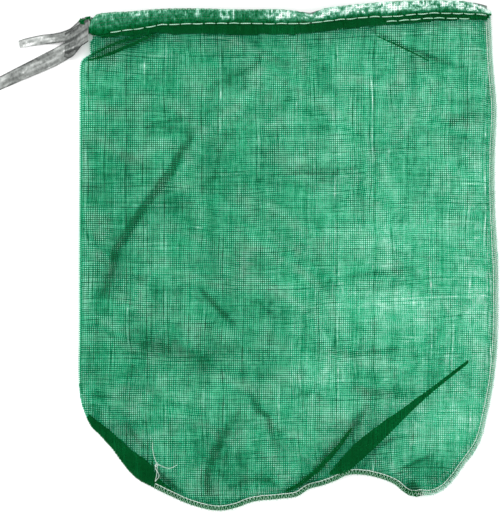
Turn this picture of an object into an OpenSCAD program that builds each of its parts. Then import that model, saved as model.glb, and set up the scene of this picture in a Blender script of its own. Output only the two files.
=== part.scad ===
// Mesh produce bag, lying flat on its back with the mouth at +Y.
// Two panels of woven mesh lie one over the other with a little air between them.
// The folded hems of the mouth hold one flat tape that leaves at the upper left corner.
// All sizes are in millimetres. The origin is under the middle of the bag, on the surface it lies on.

/* [Bag] */
// Width of the bag laid flat
bag_w = 302; // [270:1:330]
// Length of the bag from the mouth to the lowest point of the bottom seam
bag_l = 371; // [330:1:410]
// Air between the back panel and the front panel
loft = 7.8; // [7:0.2:12]

/* [Mesh] */
// Thickness of one layer of mesh as a soft solid
mesh_t = 0.8; // [0.6:0.1:1]
// Width of the seam allowance along the side and the bottom
seam_w = 4; // [3:0.5:6]

/* [Hem] */
// Depth of the folded hem around the mouth
hem_depth = 12; // [11:0.5:14]
// Thickness of one folded hem with its tape channel
hem_t = 2.6; // [2.6:0.1:3]
// Wall of the folded hem
hem_wall = 0.6; // [0.5:0.1:0.6]
// Tilt of the mouth across the bag, in degrees
hem_tilt = 2.2; // [0:0.1:3]

/* [Drawstring] */
// Width of the flat tape inside the hem
tape_w = 8; // [6:0.5:9]
// Thickness of the tape
tape_t = 0.8; // [0.5:0.1:0.8]
// Width of the lower tail, lying flat
lower_tail_w = 9; // [7:0.5:10]
// Width of the upper tail, curled in along its edges
upper_tail_w = 6; // [5:0.5:7]

/* [Stitching] */
// Width of a row of stitches
stitch_w = 1.2; // [0.8:0.1:2]
// Height of a row of stitches
stitch_t = 0.4; // [0.3:0.1:0.5]

/* [Hidden] */

mesh_green = "seagreen";
fold_green = "darkgreen";
thread_pale = "palegreen";
tape_grey = "silver";

// The outline's points are for a bag of this width and length, and stretch with the driving sizes.
drawn_w = 302;
drawn_l = 371;
function at(x, y) = [x * bag_w / drawn_w, y * bag_l / drawn_l];
function stretched(p) = [for (q = p) at(q[0], q[1])];

// Two passes of corner cutting round a path and keep its two ends.
function cut(p) = concat(
    [p[0]],
    [for (i = [0 : len(p) - 2]) each [0.75 * p[i] + 0.25 * p[i + 1], 0.25 * p[i] + 0.75 * p[i + 1]]],
    [p[len(p) - 1]]
);
function curve(p) = cut(cut(stretched(p)));

// The edge of the flat bag, in five stretches that run down the left, along the bottom and up the right.
left_edge = curve([[-143, 162], [-143, 152], [-151, 138], [-151, 60], [-151, -104]]);
corner_edge = curve([[-151, -104], [-149, -114], [-126, -142], [-112, -158], [-97, -168]]);
bottom_edge = curve([
    [-97, -168], [-69, -181], [-49, -187], [-27, -179], [15, -169], [40, -158], [63, -158], [88, -173]
]);
right_corner_edge = curve([
    [88, -173], [105, -173], [116, -168], [128, -151], [139, -134], [146, -112], [151, -70]
]);
right_edge = curve([[151, -70], [151, 20], [148, 110], [148, 172]]);
LEFT = 0;
CORNER = 1;
BOTTOM = 2;
RIGHT_CORNER = 3;
RIGHT = 4;
stretches = [left_edge, corner_edge, bottom_edge, right_corner_edge, right_edge];
outline = concat(left_edge, [for (k = [CORNER : RIGHT], i = [1 : len(stretches[k]) - 1]) stretches[k][i]]);
function first_of(k) = k == LEFT ? 0 : first_of(k - 1) + len(stretches[k - 1]) - 1;

// Heights of the layers
front_z = mesh_t + loft;
front_hem_z = front_z - 0.2;
front_top = front_z + mesh_t;
tape_gap = (hem_t - tape_t) / 2;
tuck_gap = 0.4;

// The hem's frame: its middle line crosses x = 0 here and tilts by hem_tilt.
hem_mid_y = 174 * bag_l / drawn_l;
hem_left = -143 * bag_w / drawn_w;
hem_right = 140 * bag_w / drawn_w;
tape_right = hem_right + 1;
module along_hem() {
    translate([0, hem_mid_y, 0]) rotate([0, 0, hem_tilt]) children();
}
function on_hem(x, z) = [x * cos(hem_tilt), hem_mid_y + x * sin(hem_tilt), z];

// A flat band of width w along the outline, inset from it, over the stretches first to last
function unit(v) = v / norm(v);
function left_normal(p, i) =
    let (d = unit(p[min(i + 1, len(p) - 1)] - p[max(i - 1, 0)]))
    [-d[1], d[0]];
function beside(p, w, from_i, to_i) = [for (i = [from_i : to_i]) p[i] + w * left_normal(p, i)];
function reversed(p) = [for (i = [len(p) - 1 : -1 : 0]) p[i]];
module strip(p, inset, w, z, h, from_i, to_i) {
    outer = beside(p, inset, from_i, to_i);
    inner = beside(p, inset + w, from_i, to_i);
    translate([0, 0, z]) linear_extrude(h) polygon(concat(outer, reversed(inner)));
}
module edge_band(first, last, inset, w, z, h) {
    strip(outline, inset, w, z, h, first_of(first), first_of(last + 1));
}

// A flat tape swept along a route of points, with an eight-sided section
tape_section = [
    [0.5, 0.2], [0.42, 0.5], [-0.42, 0.5], [-0.5, 0.2],
    [-0.5, -0.2], [-0.42, -0.5], [0.42, -0.5], [0.5, -0.2]
];
sides = len(tape_section);
function flat_side(p, i) =
    let (d = p[min(i + 1, len(p) - 1)] - p[max(i - 1, 0)], s = unit([-d[1], d[0]]))
    [s[0], s[1], 0];
function ring(p, i, w, t) = [for (c = tape_section) p[i] + flat_side(p, i) * c[0] * w + [0, 0, c[1] * t]];
module swept_tape(p, w, t) {
    rings = len(p);
    skin = [
        for (i = [0 : rings - 2], k = [0 : sides - 1])
            let (n = (k + 1) % sides)
            [i * sides + k, (i + 1) * sides + k, (i + 1) * sides + n, i * sides + n]
    ];
    caps = [[for (k = [0 : sides - 1]) k], [for (k = [sides - 1 : -1 : 0]) (rings - 1) * sides + k]];
    polyhedron(points = [for (i = [0 : rings - 1]) each ring(p, i, w, t)], faces = concat(skin, caps));
}

// Routes of the two free tails, from the hem's left end to their cut ends
upper_route = concat(
    [on_hem(hem_left, front_hem_z + hem_t / 2), on_hem(hem_left - 3, front_hem_z + hem_t / 2 - 0.5)],
    [[-151, 164, 7.6], [-156, 160, 5.4], [-162, 157.5, 3.4], [-168, 156.5, 2],
     [-176, 156, 1.2], [-185, 155, 0.8], [-195, 153.5, 0.8]]
);
lower_route = concat(
    [on_hem(hem_left, hem_t / 2), on_hem(hem_left - 2, hem_t / 2)],
    [[-149, 162, 1.2], [-153, 156, 1], [-158, 151, 0.8], [-166, 146, 0.8], [-180, 139, 0.8],
     [-195, 132, 0.8], [-209, 125.5, 0.8], [-223, 120, 0.8], [-237, 115.5, 0.8]]
);
end_t = 0.8;
knot_h = 5;
knot_outline = [
    [-152, 153], [-156, 149], [-161, 147], [-165, 150], [-164, 156], [-161, 161], [-156, 163], [-152, 158]
];

// Woven mesh panels
module back_panel() {
    color(mesh_green) linear_extrude(mesh_t) polygon(outline);
}

module front_panel() {
    color(mesh_green) translate([0, 0, front_z]) linear_extrude(mesh_t) polygon(outline);
}

// The edge where the mesh turns over from the back to the front
module left_fold() {
    color(mesh_green) edge_band(LEFT, LEFT, 0, mesh_t, mesh_t, loft);
}

// The lower left corner, where several layers of mesh are folded over each other
module folded_corner() {
    color(fold_green) edge_band(CORNER, CORNER, 0, 2.5 * seam_w, mesh_t, loft);
}

// Sewn edges of the side and the bottom
module side_seam_allowance() {
    color(mesh_green) edge_band(RIGHT, RIGHT, 0, seam_w, mesh_t, loft);
}

module side_seam_corner() {
    color(mesh_green) edge_band(RIGHT_CORNER, RIGHT_CORNER, 0, seam_w, mesh_t, loft);
}

module bottom_seam_allowance() {
    color(mesh_green) edge_band(BOTTOM, BOTTOM, 0, seam_w, mesh_t, loft);
}

// A folded hem: a flat tube of mesh, open at both ends, that the tape runs through
module hem_tube(z) {
    along_hem() translate([hem_left, -hem_depth / 2, z]) difference() {
        cube([hem_right - hem_left, hem_depth, hem_t]);
        translate([-1, hem_wall, hem_wall])
            cube([hem_right - hem_left + 2, hem_depth - 2 * hem_wall, hem_t - 2 * hem_wall]);
    }
}

module front_casing() {
    color(fold_green) hem_tube(front_hem_z);
}

module back_casing() {
    color(fold_green) hem_tube(0);
}

// Rows of stitches along the lower edge of each hem
module hem_stitches(from_x, to_x, y, z) {
    along_hem() translate([from_x, y, z]) cube([to_x - from_x, stitch_w, stitch_t]);
}

module front_hem_thread() {
    color(thread_pale) hem_stitches(hem_left + 8, hem_right, -hem_depth / 2 + 0.2, front_hem_z + hem_t);
}

module back_hem_thread() {
    color(thread_pale) hem_stitches(hem_left + 8, hem_right, -hem_depth / 2 + 0.2, hem_t);
}

// The second, shorter row of stitches below the hem, near its right end
module hem_thread_overrun() {
    color(thread_pale) hem_stitches(hem_right / 2, hem_right - 6, -hem_depth / 2 - 6, front_top);
}

// Rows of stitches along the side and the bottom
module side_seam_thread() {
    color(thread_pale) edge_band(RIGHT_CORNER, RIGHT, seam_w - stitch_w, stitch_w, front_top, stitch_t);
}

module bottom_seam_thread() {
    color(thread_pale) edge_band(BOTTOM, BOTTOM, seam_w, stitch_w, front_top, stitch_t);
}

// Looping thread over the cut edge of the bottom seam
module bottom_overlock_thread() {
    color(thread_pale) edge_band(BOTTOM, BOTTOM, 0, seam_w - 0.4, front_top, stitch_t);
}

// Ends of the bottom seam's thread, left long and knotted
module loose_end(points) {
    p = curve(points);
    strip(p, 0, end_t, front_top, end_t, 0, len(p) - 1);
}

module loose_thread_tails() {
    color(thread_pale) {
        loose_end([[-97, -160], [-95, -151], [-98, -142], [-97, -134]]);
        loose_end([[-94, -151], [-86, -154], [-80, -152]]);
    }
}

// Mesh tucked in around the tape's way out
module casing_end_tuck() {
    color(fold_green) translate([0, 0, hem_t + tuck_gap]) linear_extrude(front_hem_z - hem_t - 1 - tuck_gap)
        polygon(stretched([[-143.5, 168], [-143.5, 172.5], [-147, 172.5], [-150, 171], [-149, 168]]));
}

// A pleat pressed into the front panel, from the bottom seam up to the right edge
module front_pleat() {
    color(fold_green) translate([0, 0, front_top]) linear_extrude(mesh_t)
        polygon(concat(
            curve([[130, -76], [87, -106], [66, -121], [48, -136], [30, -154]]),
            curve([[40, -150], [70, -129], [93, -107], [132, -78]])
        ));
}

// The flat tape: two runs inside the hems and the bend that joins them at the right
module tape_run(z) {
    along_hem() translate([hem_left, -tape_w / 2, z + tape_gap])
        cube([tape_right - hem_left, tape_w, tape_t]);
}

module drawstring_front_run() {
    color(tape_grey) tape_run(front_hem_z);
}

module drawstring_back_run() {
    color(tape_grey) tape_run(0);
}

module drawstring_return() {
    color(tape_grey) along_hem() translate([tape_right, -tape_w / 2, tape_gap])
        cube([tape_t, tape_w, front_hem_z + tape_t]);
}

// The flat knot that holds both ends together
module drawstring_knot() {
    color(tape_grey) linear_extrude(knot_h) polygon(cut(knot_outline));
}

module upper_tail() {
    color(tape_grey) swept_tape(upper_route, upper_tail_w, tape_t);
}

module lower_tail() {
    color(tape_grey) swept_tape(lower_route, lower_tail_w, tape_t);
}

back_panel();
front_panel();
left_fold();
folded_corner();
side_seam_allowance();
side_seam_corner();
bottom_seam_allowance();
front_casing();
back_casing();
front_hem_thread();
back_hem_thread();
hem_thread_overrun();
side_seam_thread();
bottom_seam_thread();
bottom_overlock_thread();
loose_thread_tails();
casing_end_tuck();
front_pleat();
drawstring_front_run();
drawstring_back_run();
drawstring_return();
drawstring_knot();
upper_tail();
lower_tail();
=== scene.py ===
import bpy
import numpy as np
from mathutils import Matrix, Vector


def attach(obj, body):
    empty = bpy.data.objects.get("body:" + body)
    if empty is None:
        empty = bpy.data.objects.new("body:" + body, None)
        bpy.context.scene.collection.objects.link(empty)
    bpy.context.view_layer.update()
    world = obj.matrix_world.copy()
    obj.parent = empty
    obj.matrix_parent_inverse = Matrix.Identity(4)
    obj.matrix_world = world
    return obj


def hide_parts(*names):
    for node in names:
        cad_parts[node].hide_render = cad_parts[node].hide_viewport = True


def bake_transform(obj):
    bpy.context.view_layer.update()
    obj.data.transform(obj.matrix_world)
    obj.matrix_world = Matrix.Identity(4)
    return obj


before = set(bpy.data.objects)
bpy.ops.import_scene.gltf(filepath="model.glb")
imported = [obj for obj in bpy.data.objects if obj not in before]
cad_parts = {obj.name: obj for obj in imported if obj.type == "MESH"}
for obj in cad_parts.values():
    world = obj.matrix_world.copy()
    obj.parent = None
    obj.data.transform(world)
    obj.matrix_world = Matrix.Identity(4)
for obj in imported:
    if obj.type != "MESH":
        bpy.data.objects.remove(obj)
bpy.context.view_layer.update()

# The mesh produce bag lies flat on its back: mouth at +Y, side seam at +X, tape ends at the upper left.
# Cloth and thread shapes are worked out in millimetres and turned to metres where a mesh is made.
MM = 0.001
SEED = 11


def linear(colour):
    """A linear colour from an sRGB hex value such as "3f9c6e"."""
    srgb = [int(colour[i : i + 2], 16) / 255 for i in (0, 2, 4)]
    return [c / 12.92 if c <= 0.04045 else ((c + 0.055) / 1.055) ** 2.4 for c in srgb] + [1.0]


# ---- camera ----

VIEW_MIDDLE = (-27.5 * MM, 0.0)
VIEW_HEIGHT = 370.2 * MM
CAMERA_ABOVE = 1.3
SENSOR = 36.0
FRONT_LEVEL = 0.006

camera = bpy.data.objects.new("Camera", bpy.data.cameras.new("Camera"))
bpy.context.collection.objects.link(camera)
camera.location = (*VIEW_MIDDLE, CAMERA_ABOVE)
camera.data.sensor_width = SENSOR
camera.data.lens = SENSOR * (CAMERA_ABOVE - FRONT_LEVEL) / VIEW_HEIGHT
bpy.context.scene.camera = camera


# ---- shapes ----


class Shell:
    """Grids of quads that are gathered into one mesh."""

    def __init__(self):
        self.points, self.quads, self.tones, self.count = [], [], [], 0

    def grid(self, p, closed=False, tone=0.0):
        """p has shape (rows, columns, 3), in millimetres. closed joins the last column to the first.
        tone is kept for the material: below 0 darker, above 0 lighter."""
        rows, columns = p.shape[:2]
        ids = np.arange(rows * columns).reshape(rows, columns) + self.count
        if closed:
            ids = np.concatenate([ids, ids[:, :1]], axis=1)
        a, b, c, d = ids[:-1, :-1], ids[:-1, 1:], ids[1:, 1:], ids[1:, :-1]
        self.quads.append(np.stack([a, b, c, d], axis=-1).reshape(-1, 4))
        self.points.append(p.reshape(-1, 3))
        self.tones.append(np.broadcast_to(tone, (rows, columns)).ravel())
        self.count += rows * columns

    def build(self, name, material):
        points = np.concatenate(self.points) * MM
        quads = np.concatenate(self.quads)
        mesh = bpy.data.meshes.new(name)
        mesh.vertices.add(len(points))
        mesh.vertices.foreach_set("co", points.astype(np.float32).ravel())
        mesh.loops.add(quads.size)
        mesh.loops.foreach_set("vertex_index", quads.astype(np.int32).ravel())
        mesh.polygons.add(len(quads))
        mesh.polygons.foreach_set("loop_start", np.arange(0, quads.size, 4, dtype=np.int32))
        mesh.polygons.foreach_set("use_smooth", np.full(len(quads), True))
        mesh.update(calc_edges=True)
        tone = mesh.attributes.new("tone", "FLOAT", "POINT")
        tone.data.foreach_set("value", np.concatenate(self.tones).astype(np.float32))
        mesh.validate()
        mesh.materials.append(material)
        piece = bpy.data.objects.new(name, mesh)
        bpy.context.collection.objects.link(piece)
        return piece


def through(points):
    """A smooth function through points (x, y) with rising x."""
    xs, ys = (np.array(c, float) for c in zip(*points))
    slopes = np.gradient(ys, xs)

    def value(x):
        x = np.clip(x, xs[0], xs[-1])
        i = np.clip(np.searchsorted(xs, x) - 1, 0, len(xs) - 2)
        h = xs[i + 1] - xs[i]
        t = (x - xs[i]) / h
        a, b = (1 + 2 * t) * (1 - t) ** 2 * ys[i], t * (1 - t) ** 2 * h * slopes[i]
        c, d = t * t * (3 - 2 * t) * ys[i + 1], t * t * (t - 1) * h * slopes[i + 1]
        return a + b + c + d

    return value


def run_of(path):
    """How far along a path each of its points lies."""
    return np.concatenate([[0], np.cumsum(np.linalg.norm(np.diff(path, axis=0), axis=1))])


def across_path(path):
    """The direction to the left of a path, seen from above, at each of its points."""
    ahead = np.gradient(path, axis=0)
    left = np.stack([-ahead[:, 1], ahead[:, 0]], axis=1)
    return left / np.linalg.norm(left, axis=1, keepdims=True)


def at(s, runs, path, columns):
    """The chosen columns of a path's points at the lengths s along it."""
    return np.stack([np.interp(s, runs, path[:, k]) for k in range(columns)], axis=-1)


def along(points, step):
    """A smooth path through points, with a point about every step."""
    p = np.array(points, float)
    lengths = run_of(p)
    s = np.linspace(0, lengths[-1], max(2, int(lengths[-1] / step) + 1))
    return np.stack([through(list(zip(lengths, p[:, k])))(s) for k in range(p.shape[1])], axis=1)


def distance_to(x, y, path):
    """How far points are from a polyline, and how far along it the nearest place lies, from 0 to 1."""
    path = np.array(path, float)
    best, place = np.full(x.shape, 1e9), np.zeros(x.shape)
    for k, (a, b) in enumerate(zip(path[:-1], path[1:])):
        d = b - a
        t = np.clip(((x - a[0]) * d[0] + (y - a[1]) * d[1]) / (d @ d), 0, 1)
        far = np.hypot(x - a[0] - t * d[0], y - a[1] - t * d[1])
        near = far < best
        best, place = np.where(near, far, best), np.where(near, (k + t) / (len(path) - 1), place)
    return best, place


def ring_tube(shell, path, radius, sides=6):
    """Adds a tube along a path of points."""
    ahead = np.gradient(path, axis=0)
    ahead /= np.maximum(np.linalg.norm(ahead, axis=1, keepdims=True), 1e-9)
    side = np.cross(ahead, [0.0, 0.0, 1.0])
    side /= np.maximum(np.linalg.norm(side, axis=1, keepdims=True), 1e-9)
    up = np.cross(side, ahead)
    turn = np.arange(sides) * 2 * np.pi / sides
    radius = np.broadcast_to(radius, len(path))[:, None, None]
    ring = side[:, None] * np.cos(turn)[None, :, None] + up[:, None] * np.sin(turn)[None, :, None]
    shell.grid(path[:, None] + radius * ring, closed=True)


def between(table, p, q):
    """Reads a table of values between its places."""
    p, q = np.clip(p, 0, table.shape[0] - 1.001), np.clip(q, 0, table.shape[1] - 1.001)
    i, j = np.floor(p).astype(int), np.floor(q).astype(int)
    f, g = p - i, q - j
    near = table[i, j] * (1 - f) + table[i + 1, j] * f
    return near * (1 - g) + (table[i, j + 1] * (1 - f) + table[i + 1, j + 1] * f) * g


def sampled(fill):
    """A slow function of x and y, worked out once for every millimetre of the bag."""
    xs, ys = np.arange(-165.0, 165.0), np.arange(-200.0, 200.0)
    table = fill(*np.meshgrid(xs, ys, indexing="ij"))
    return lambda x, y: between(table, np.asarray(x) - xs[0], np.asarray(y) - ys[0])


def mottle(x, y, size, seed):
    """Smooth random values from -1 to 1 that change over about the given size."""
    middle, repeat = MOTTLE_SIDE / 2, MOTTLE_SIDE - 2
    return between(MOTTLE[seed], (x / size + middle) % repeat, (y / size + middle) % repeat)


MOTTLE_SIDE = 600
MOTTLE = [np.random.default_rng(SEED + k).uniform(-1, 1, (MOTTLE_SIDE, MOTTLE_SIDE)) for k in range(8)]


# ---- materials ----


def node(tree, kind, links=(), **settings):
    """Adds a node. links are (input, source socket), and settings give inputs or the node's own
    properties their values."""
    new = tree.nodes.new(kind)
    for name, value in settings.items():
        if name in new.inputs:
            new.inputs[name].default_value = value
        else:
            setattr(new, name, value)
    for socket, source in links:
        tree.links.new(source, new.inputs[socket])
    return new


def new_material(name):
    material = bpy.data.materials.new(name)
    material.use_nodes = True
    tree = material.node_tree
    tree.nodes.clear()
    return material, tree, node(tree, "ShaderNodeOutputMaterial")


def ramp(tree, source, stops):
    """A colour ramp over a value, with stops of (place, sRGB hex)."""
    made = node(tree, "ShaderNodeValToRGB", [("Fac", source)])
    elements = made.color_ramp.elements
    while len(elements) < len(stops):
        elements.new(0.5)
    for element, (place, colour) in zip(elements, stops):
        element.position = place
        element.color = linear(colour)
    return made.outputs["Color"]


def tone_share(tree, noise, gain, offset, low, high):
    """The tone that Shell keeps at each point, with noise added to it, as a share: 0 at low and 1 at high."""
    spread = node(tree, "ShaderNodeMath", [(0, noise)], operation="MULTIPLY_ADD")
    spread.inputs[1].default_value = gain
    spread.inputs[2].default_value = offset
    kept = node(tree, "ShaderNodeAttribute", attribute_name="tone").outputs["Fac"]
    tone = node(tree, "ShaderNodeMath", [(0, kept), (1, spread.outputs[0])], operation="ADD")
    limits = {"From Min": low, "From Max": high}
    return node(tree, "ShaderNodeMapRange", [("Value", tone.outputs[0])], **limits).outputs["Result"]


def part_clear(tree, out, colour, noise, roughness, bump, ior, shine, tint):
    """A shiny film that lets some light straight through. The first input of the mix that it gives back
    says how much."""
    limits = {"To Min": roughness[0], "To Max": roughness[1]}
    rough = node(tree, "ShaderNodeMapRange", [("Value", noise)], **limits)
    links = [("Base Color", colour), ("Roughness", rough.outputs[0]), ("Normal", bump.outputs[0])]
    film = node(tree, "ShaderNodeBsdfPrincipled", links, IOR=ior, **{"Specular IOR Level": shine})
    see = node(tree, "ShaderNodeBsdfTransparent", Color=linear(tint))
    mix = node(tree, "ShaderNodeMixShader", [(1, film.outputs[0]), (2, see.outputs[0])])
    tree.links.new(mix.outputs[0], out.inputs["Surface"])
    return mix


def woven_polyethylene(name, greens, tint, clear, shine=0.12):
    """Flat polyethylene yarn: a waxy, slightly clear green film, so each more layer of mesh is darker.
    greens go from painted shade on yarns drawn tight together to painted highlights on yarns that catch the
    light, and clear is how much shows through them, as greys from black for none to white for all."""
    material, tree, out = new_material(name)
    place = node(tree, "ShaderNodeTexCoord").outputs["Object"]
    # Cloudy over about 33 mm, with a grain of about 1.1 mm. The real film's grain is too fine to show.
    patches = node(tree, "ShaderNodeTexNoise", [("Vector", place)], Scale=30.0, Detail=4.0).outputs["Fac"]
    grain = node(tree, "ShaderNodeTexNoise", [("Vector", place)], Scale=900.0, Detail=2.0).outputs["Fac"]
    drift = node(tree, "ShaderNodeMath", [(0, patches), (1, grain)], operation="ADD")
    share = tone_share(tree, drift.outputs[0], gain=0.9, offset=-0.9, low=-1.0, high=1.6)
    # The ramp's dark end is painted shade, its light end painted highlights.
    colour = ramp(tree, share, list(zip((0.0, 0.24, 0.42, 0.62, 0.82, 1.0), greens)))
    see_through = ramp(tree, share, list(zip((0.0, 0.38, 0.56, 0.78, 1.0), clear)))
    bump = node(tree, "ShaderNodeBump", [("Height", grain)], Strength=0.35, Distance=0.0002)
    mix = part_clear(tree, out, colour, grain, (0.28, 0.5), bump, ior=1.5, shine=shine, tint=tint)
    tree.links.new(see_through, mix.inputs[0])
    return material


def spun_thread(name, pale, shade):
    """Spun polyester thread: soft and dull. Its twist makes bands about 1.6 mm apart, which is coarser than
    real so that they show."""
    material, tree, out = new_material(name)
    place = node(tree, "ShaderNodeTexCoord").outputs["Object"]
    twist = node(
        tree, "ShaderNodeTexWave", [("Vector", place)], bands_direction="DIAGONAL", Scale=400.0,
        Distortion=1.5,
    )
    drift = node(tree, "ShaderNodeTexNoise", [("Vector", place)], Scale=120.0)
    both = node(
        tree, "ShaderNodeMath", [(0, twist.outputs["Fac"]), (1, drift.outputs["Fac"])], operation="MULTIPLY"
    )
    colour = ramp(tree, both.outputs[0], [(0.05, shade), (0.5, pale)])
    bump = node(tree, "ShaderNodeBump", [("Height", twist.outputs["Fac"])], Strength=0.5, Distance=0.0002)
    thread = node(
        tree, "ShaderNodeBsdfPrincipled", [("Base Color", colour), ("Normal", bump.outputs["Normal"])],
        Roughness=0.75,
    )
    tree.links.new(thread.outputs[0], out.inputs["Surface"])
    return material


def crinkled_film(name, greys, clear):
    """Clear polypropylene film tape, crinkled until it looks grey, with sharp glints on its creases: real
    ones from the bumped creases, and painted glints at the light end of its colour ramp.
    """
    material, tree, out = new_material(name)
    place = node(tree, "ShaderNodeTexCoord").outputs["Object"]
    # Creases about 1.6 mm apart, and clouding over about 2.4 mm.
    creases = node(
        tree, "ShaderNodeTexVoronoi", [("Vector", place)], feature="DISTANCE_TO_EDGE", Scale=620.0
    )
    cloud = node(tree, "ShaderNodeTexNoise", [("Vector", place)], Scale=420.0, Detail=4.0, Roughness=0.7)
    cloud = cloud.outputs["Fac"]
    share = tone_share(tree, cloud, gain=1.5, offset=-0.75, low=-1.2, high=1.4)
    colour = ramp(tree, share, list(zip((0.0, 0.3, 0.55, 0.78, 1.0), greys)))
    bump = node(
        tree, "ShaderNodeBump", [("Height", creases.outputs["Distance"])], Strength=0.5, Distance=0.0006
    )
    mix = part_clear(tree, out, colour, cloud, (0.15, 0.45), bump, ior=1.49, shine=0.3, tint="e8ebe8")
    mix.inputs[0].default_value = clear
    return material


mesh_green = woven_polyethylene(
    "woven green polyethylene mesh", ("003d22", "065c3e", "1f8060", "53a88a", "a4dcc8", "f0fbf6"),
    "58e6c2", ("9e9e9e", "c6c6c6", "d4d4d4", "b8b8b8", "6c6c6c"),
)
# The folded mesh: its dark end gives folds and hems their painted shade, and its light end, less clear, gives
# the hems their painted glints.
folded_green = woven_polyethylene(
    "folded green polyethylene mesh", ("00451c", "00602f", "147248", "4d9c7a", "b4e2d0", "f6fefa"),
    "20d88c", ("9e9e9e", "878787", "767676", "626262", "505050"), shine=0.03,
)
pale_thread = spun_thread("pale spun polyester thread", "bfe2cc", "74ae8f")
seam_thread = spun_thread("off-white spun polyester thread", "d2dfd6", "93b0a1")
film_grey = crinkled_film(
    "crinkled clear polypropylene tape", ("3c403e", "787c79", "9fa3a0", "c6cac7", "ffffff"), 0.16
)
# A darker, greener copy of the tape for its runs inside the hems: painted shade from the mesh over them.
shaded_film_in_hem = crinkled_film(
    "crinkled clear polypropylene tape in the hem, painted shade", ("26302b", "4c5a53", "75827b", "a3aea8", "eef4f0"), 0.3
)


# ---- tape ends ----

# The same routes as the CAD tape ends, from the hem's left end to their cut ends.
HEM_TILT = np.radians(2.2)
HEM_MID = 174.0
HEM_LEFT = -143.0
FRONT_TAPE_Z = 9.7
BACK_TAPE_Z = 1.3


def on_hem(x, z):
    return [x * np.cos(HEM_TILT), HEM_MID + x * np.sin(HEM_TILT), z]


UPPER_ROUTE = [
    on_hem(HEM_LEFT, FRONT_TAPE_Z), on_hem(HEM_LEFT - 3, FRONT_TAPE_Z - 0.5),
    [-151, 164, 7.6], [-156, 160, 5.4], [-162, 157.5, 3.4], [-168, 156.5, 2],
    [-176, 156, 1.2], [-185, 155, 0.8], [-195, 153.5, 0.8],
]
LOWER_ROUTE = [
    on_hem(HEM_LEFT, BACK_TAPE_Z), on_hem(HEM_LEFT - 2, BACK_TAPE_Z),
    [-149, 162, 1.2], [-153, 156, 1], [-158, 151, 0.8], [-166, 146, 0.8], [-180, 139, 0.8],
    [-195, 132, 0.8], [-209, 125.5, 0.8], [-223, 120, 0.8], [-237, 115.5, 0.8],
]
FILM_T = 0.25


def film_between(shell, low, high, z, crinkle, seed, tone=0.0):
    """Flat film between two edges (n, 2), as a closed skin of two faces: crinkled mostly along its length,
    with painted shade at its edges and a few painted glints, and nowhere below the floor."""
    rng = np.random.default_rng(seed)
    s = run_of((low + high) / 2)[:, None]
    a = np.linspace(0, 1, 15)[None, :]
    width = np.linalg.norm(high - low, axis=1)[:, None]
    across = a * width
    wave = 0.5 * mottle(s * 0.5, across, 1.3, seed % 8) + 0.35 * mottle(s, across, 1.1, (seed + 1) % 8)
    wave = wave + 0.2 * np.sin(a * 11 + 1.5 * np.sin(s / 7) + rng.uniform(0, 6))
    shade = tone + 0.95 * mottle(s * 0.14, across, 1.1, (seed + 2) % 8)
    shade = shade + 0.3 * mottle(s, across, 1.2, seed % 8)
    # A few painted glints.
    glint = mottle(s * 0.7, across, 1.0, (seed + 3) % 8)
    shade = shade + 2.2 * np.clip(glint - 0.55, 0, 1) * (a > 0.12)
    # Painted shade along both edges, stronger along the first.
    shade = shade - 1.1 * np.exp(-((across / 0.8) ** 2)) - 0.7 * np.exp(-(((1 - a) * width / 0.6) ** 2))
    flat = low[:, None] * (1 - a[..., None]) + high[:, None] * a[..., None]
    middle = np.concatenate([flat, (np.reshape(z, (-1, 1)) + crinkle * wave)[..., None]], axis=2)
    middle[..., 2] = np.maximum(middle[..., 2], FILM_T / 2)
    up = np.array([0.0, 0.0, FILM_T / 2])
    skin = np.concatenate([middle + up, (middle - up)[:, ::-1]], axis=1)
    shell.grid(skin, closed=True, tone=np.concatenate([shade, shade[:, ::-1]], axis=1))


def film_tape(shell, path, width, crinkle, seed, tone=0.0):
    """Flat film along a path. width may be one number or one for each point of the path."""
    half = across_path(path) * (np.broadcast_to(width, len(path)) / 2)[:, None]
    film_between(shell, path[:, :2] - half, path[:, :2] + half, path[:, 2], crinkle, seed, tone)


def slivers(shell, tip, heading, width, count, seed):
    """The feathered cut end of a tape: thin tongues of film that fan out a little."""
    rng = np.random.default_rng(seed)
    heading = np.array(heading, float) / np.linalg.norm(heading)
    side = np.array([-heading[1], heading[0], 0.0])
    for place in np.linspace(-0.46, 0.46, count):
        reach = rng.uniform(0.8, 3.4)
        start = np.array(tip) - heading * 2.5 + side * place * width
        lean = side * (place * 1.4 + rng.uniform(-0.4, 0.4))
        steps = np.linspace(0, 1, 5)[:, None]
        path = start + (heading * (2.5 + reach) + lean) * steps
        path[:, 2] += 0.25 + 0.3 * rng.uniform(0, 1) * steps[:, 0]
        half = width / count * 0.36 * (1.02 - steps)
        shell.grid(np.stack([path + side * half, path - side * half], axis=1), tone=rng.uniform(0.2, 1.0))


EXIT_UPPER = np.array(UPPER_ROUTE[0]) * MM
EXIT_LOWER = np.array(LOWER_ROUTE[0]) * MM
UPPER_W, LOWER_W, RUN_W = 5.6, 9.0, 7.6

upper_path = along(UPPER_ROUTE, 0.6)
upper_shell = Shell()
upper_x = upper_path[:, 0]
upper_width = np.interp(upper_x, [-195, -190, -178, -160, -150, -143], [5.2, 6.2, 7.0, 7.4, 7.0, 6.2])
upper_tone = np.interp(upper_x, [-195, -184, -170], [1.1, 0.35, 0.0])[:, None]
upper_lie = upper_path.copy()
upper_lie[:, 1] += np.interp(upper_x, [-195, -180, -162, -150, -143], [0.3, 1.1, 1.7, 1.0, 0.0])
film_tape(upper_shell, upper_lie, upper_width, crinkle=0.35, seed=SEED, tone=upper_tone)
slivers(upper_shell, upper_path[-1], upper_path[-1] - upper_path[-4], width=4.6, count=12, seed=SEED)
upper_tail = upper_shell.build("upper_tail_tape", film_grey)

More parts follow.
